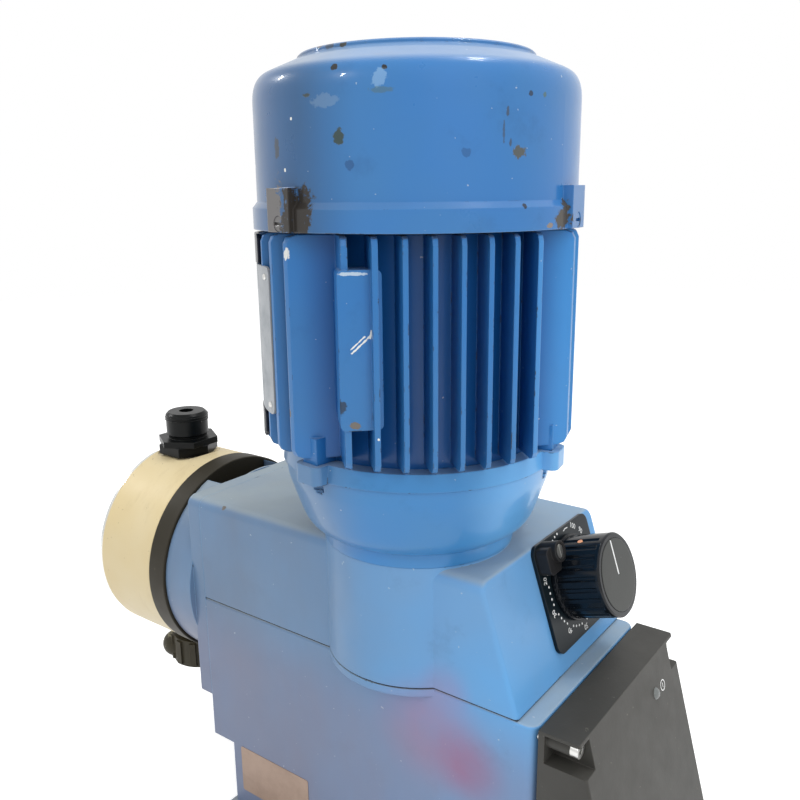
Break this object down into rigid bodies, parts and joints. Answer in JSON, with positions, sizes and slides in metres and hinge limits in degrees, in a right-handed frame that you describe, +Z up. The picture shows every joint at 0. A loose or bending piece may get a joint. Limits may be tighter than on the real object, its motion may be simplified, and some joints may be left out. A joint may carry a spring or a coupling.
{
  "type": "diaphragm metering pump",
  "caption": "Motor-driven diaphragm metering pump with an upright flanged motor, worm gear housing, round dosing head, stroke knob and foot with slots.",
  "frame": {"origin": "centre of the four foot slots, on the foot's underside", "axes": "+Z up along the motor axis, -X towards the dosing head, +X towards the control cover, -Y towards the side that the motor overhangs"},
  "size_m": [0.3046, 0.149, 0.365],
  "materials": {
    "blue_paint": "gloss",
    "housing_paint": "satin",
    "foot_paint": "satin",
    "cream_plastic": "satin",
    "black_plastic": "satin",
    "cover_plastic": "satin",
    "knob_plastic": "gloss",
    "grey_plastic": "satin",
    "led": "gloss",
    "dial": "satin",
    "steel": "brushed",
    "screw_steel": "satin",
    "iron": "rough",
    "bronze": "satin",
    "rubber": "matt",
    "ptfe": "satin",
    "board": "gloss",
    "ceramic": "gloss"
  },
  "bodies": {
    "pump": {"gear_housing_upper": "housing_paint", "gear_housing_lower": "housing_paint", "housing_gasket": "rubber", "housing_screws": "screw_steel", "base_foot": "foot_paint", "base_screws": "screw_steel", "motor_housing": "housing_paint", "lower_end_shield": "housing_paint", "upper_end_shield": "housing_paint", "shield_screws": "screw_steel", "motor_screws": "screw_steel", "fan_cowl": "blue_paint", "cowl_screws": "screw_steel", "lower_bearing": "steel", "upper_bearing": "steel", "shaft_seal": "rubber", "worm_bush": "bronze", "stator_core": "iron", "wheel_bearings": "bronze", "return_spring": "steel", "rod_bushing": "bronze", "rod_seal": "rubber", "diaphragm": "ptfe", "lantern": "housing_paint", "lantern_screws": "screw_steel", "backplate": "black_plastic", "dosing_head": "cream_plastic", "head_cover": "steel", "head_screws": "screw_steel", "discharge_valve_body": "black_plastic", "discharge_seat": "ptfe", "discharge_seal": "rubber", "suction_valve_body": "black_plastic", "suction_seat": "ptfe", "suction_seal": "rubber", "suction_union_nut": "black_plastic", "suction_insert": "grey_plastic", "suction_gasket": "rubber", "dial_plate": "dial", "spindle_bushing": "bronze", "knob_clamp": "black_plastic", "clamp_screw": "screw_steel", "control_cover": "cover_plastic", "status_led": "led", "cover_gasket": "rubber", "cover_screws": "screw_steel", "control_board": "board", "cable_glands": "black_plastic"},
    "rotor": {"worm_shaft": "steel", "rotor_core": "iron", "cooling_fan": "black_plastic"},
    "wheel": {"worm_wheel": "bronze", "eccentric_shaft": "steel"},
    "push_rod": {"push_rod": "steel", "diaphragm_core": "steel"},
    "knob": {"knob": "knob_plastic", "knob_cap": "grey_plastic"},
    "spindle": {"adjusting_spindle": "steel"},
    "discharge_ball": {"discharge_ball": "ceramic"},
    "suction_ball": {"suction_ball": "ceramic"}
  },
  "joints": [
    {"name": "rotor_spin", "type": "hinge", "parent": "pump", "child": "rotor", "pos_m": [0.016, -0.01965, 0.122], "axis": [0, 0, 1], "continuous": true},
    {"name": "wheel_spin", "type": "hinge", "parent": "pump", "child": "wheel", "pos_m": [-0.024, 0, 0.122], "axis": [0, 1, 0], "continuous": true},
    {"name": "rod_slide", "type": "slide", "parent": "pump", "child": "push_rod", "axis": [-1, 0, 0], "range_m": [0, 0.004], "stiffness_N_per_m": 2000, "springref_m": -0.005, "deforming": ["return_spring", "diaphragm"]},
    {"name": "knob_turn", "type": "hinge", "parent": "pump", "child": "knob", "pos_m": [0.0714, 0.0143, 0.15356], "axis": [0.9507, 0, 0.3101], "range_deg": [-360, 0]},
    {"name": "spindle_slide", "type": "slide", "parent": "pump", "child": "spindle", "axis": [0.9507, 0, 0.3101], "range_m": [-0.004, 0]},
    {"name": "discharge_ball_lift", "type": "slide", "parent": "pump", "child": "discharge_ball", "axis": [0, 0, 1], "range_m": [0, 0.0018]},
    {"name": "suction_ball_lift", "type": "slide", "parent": "pump", "child": "suction_ball", "axis": [0, 0, 1], "range_m": [0, 0.0018]}
  ],
  "couplings": [
    {"joint": "wheel_spin", "follows": "rotor_spin", "ratio": 0.03125},
    {"joint": "spindle_slide", "follows": "knob_turn", "m_per_rad": 0.0006366}
  ]
}
